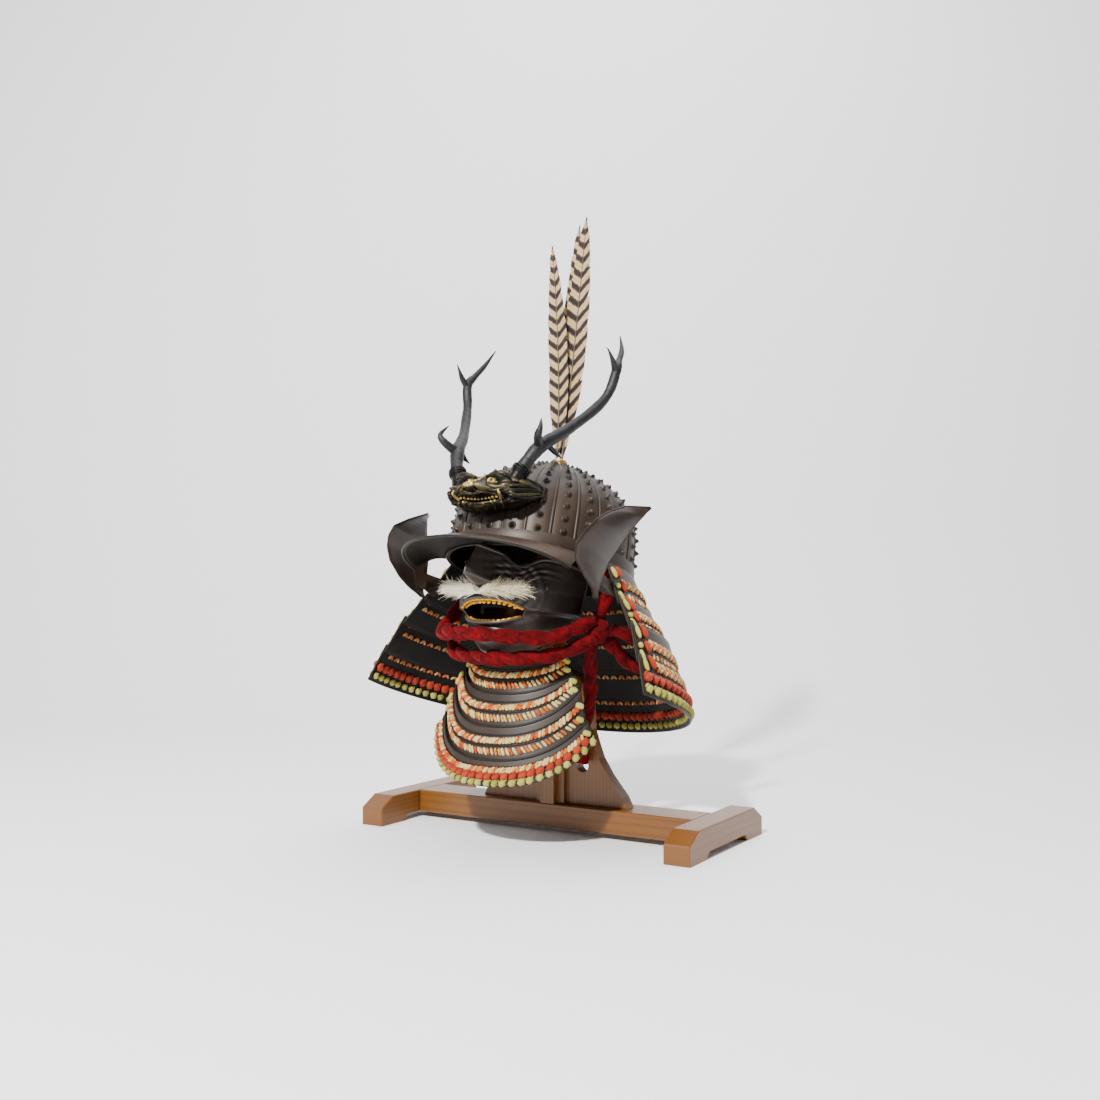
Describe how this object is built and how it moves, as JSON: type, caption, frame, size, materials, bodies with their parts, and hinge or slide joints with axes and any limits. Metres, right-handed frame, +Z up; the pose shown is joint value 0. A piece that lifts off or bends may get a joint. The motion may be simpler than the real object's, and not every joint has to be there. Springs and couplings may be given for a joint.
{
  "type": "samurai helmet with face guard on a wooden stand",
  "caption": "Lacquered helmet with studded bowl, antlered beast crest, plume, face guard with moustache and laced neck and throat guards, shown on a low wooden stand.",
  "frame": {"origin": "middle of the bounding box on the surface that the stand rests on", "axes": "+Z up, -Y the way the helmet faces, +X the wearer's left"},
  "size_m": [0.48, 0.3888, 0.8193],
  "materials": {
    "antler_black": "charcoal black, satin",
    "pine": "light brown clear-coated pine",
    "lacquer": "aged grey-brown lacquered iron, low sheen",
    "crimson": "crimson velvet rope",
    "bronze": "dark patinated bronze with gilt high spots",
    "feather": "tan feather with dark bars",
    "gilt": "gilt lacquer",
    "dark_lacquer": "very dark brown lacquer, satin",
    "hair": "off-white hair",
    "silk_lime": "lime green silk cord",
    "silk_orange": "orange silk cord",
    "silk_mixed": "orange, white and gold silk braid",
    "brass": "aged brass"
  },
  "bodies": {
    "root": {"antler_left": "antler_black", "antler_right": "antler_black", "back_board": "pine", "bowl": "lacquer", "chin_rope_knot": "crimson", "chin_rope_loop": "crimson", "chin_rope_lower": "crimson", "chin_rope_side": "crimson", "chin_rope_tail": "crimson", "chin_rope_upper": "crimson", "crest_head": "bronze", "crossbeam": "pine", "feather_1": "feather", "feather_2": "feather", "feather_3": "feather", "foot_left": "pine", "foot_right": "pine", "front_post": "pine", "helmet_perch": "pine", "lower_teeth": "gilt", "mask_face": "dark_lacquer", "mask_rest": "pine", "moustache": "hair", "neck_knots_lime": "silk_lime", "neck_knots_orange": "silk_orange", "neck_lace_1": "silk_mixed", "neck_lace_2": "silk_mixed", "neck_lace_3": "silk_mixed", "neck_lame_1": "lacquer", "neck_lame_2": "lacquer", "neck_lame_3": "lacquer", "neck_lame_4": "lacquer", "plume_socket": "brass", "throat_braid_1": "silk_mixed", "throat_braid_2": "silk_mixed", "throat_braid_3": "silk_mixed", "throat_braid_4": "silk_mixed", "throat_knots_lime": "silk_lime", "throat_knots_orange": "silk_orange", "throat_lame_1": "lacquer", "throat_lame_2": "lacquer", "throat_lame_3": "lacquer", "throat_lame_4": "lacquer", "throat_loops_1": "silk_mixed", "throat_loops_2": "silk_mixed", "throat_loops_3": "silk_mixed", "turnback_arm_left": "lacquer", "turnback_arm_right": "lacquer", "turnback_left": "lacquer", "turnback_right": "lacquer", "upper_teeth": "gilt", "visor": "lacquer"}
  },
  "joints": []
}
